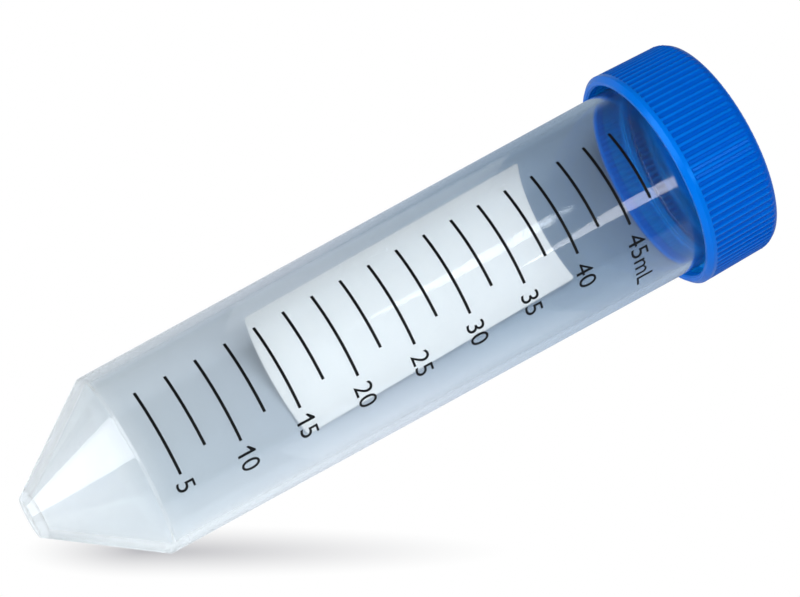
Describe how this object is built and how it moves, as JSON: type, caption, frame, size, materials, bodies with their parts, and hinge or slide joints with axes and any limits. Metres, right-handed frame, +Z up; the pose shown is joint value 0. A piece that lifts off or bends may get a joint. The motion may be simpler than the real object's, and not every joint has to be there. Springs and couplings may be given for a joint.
{
  "type": "conical centrifuge tube",
  "caption": "Translucent plastic centrifuge tube with a conical end, printed graduations, a writing panel and a ribbed blue screw cap, lying on its side.",
  "frame": {"origin": "on the floor, below the middle of the lying tube's outer box", "axes": "+X along the lying tube from its cone towards its cap, +Y across it on the side away from the graduations, +Z up"},
  "size_m": [0.117, 0.0346, 0.0347],
  "materials": {
    "tube": "translucent polypropylene, smooth",
    "cap": "moulded, satin",
    "black_ink": "printed",
    "white_ink": "printed"
  },
  "bodies": {
    "tube_body": {"tube": "tube", "graduation_marks": "black_ink", "writing_panel": "white_ink"},
    "cap_body": {"cap": "cap"}
  },
  "joints": [
    {"name": "cap_lift", "type": "slide", "parent": "tube_body", "child": "cap_body", "axis": [0.9993, 0, 0.0361], "range_m": [0, 0.03]}
  ]
}
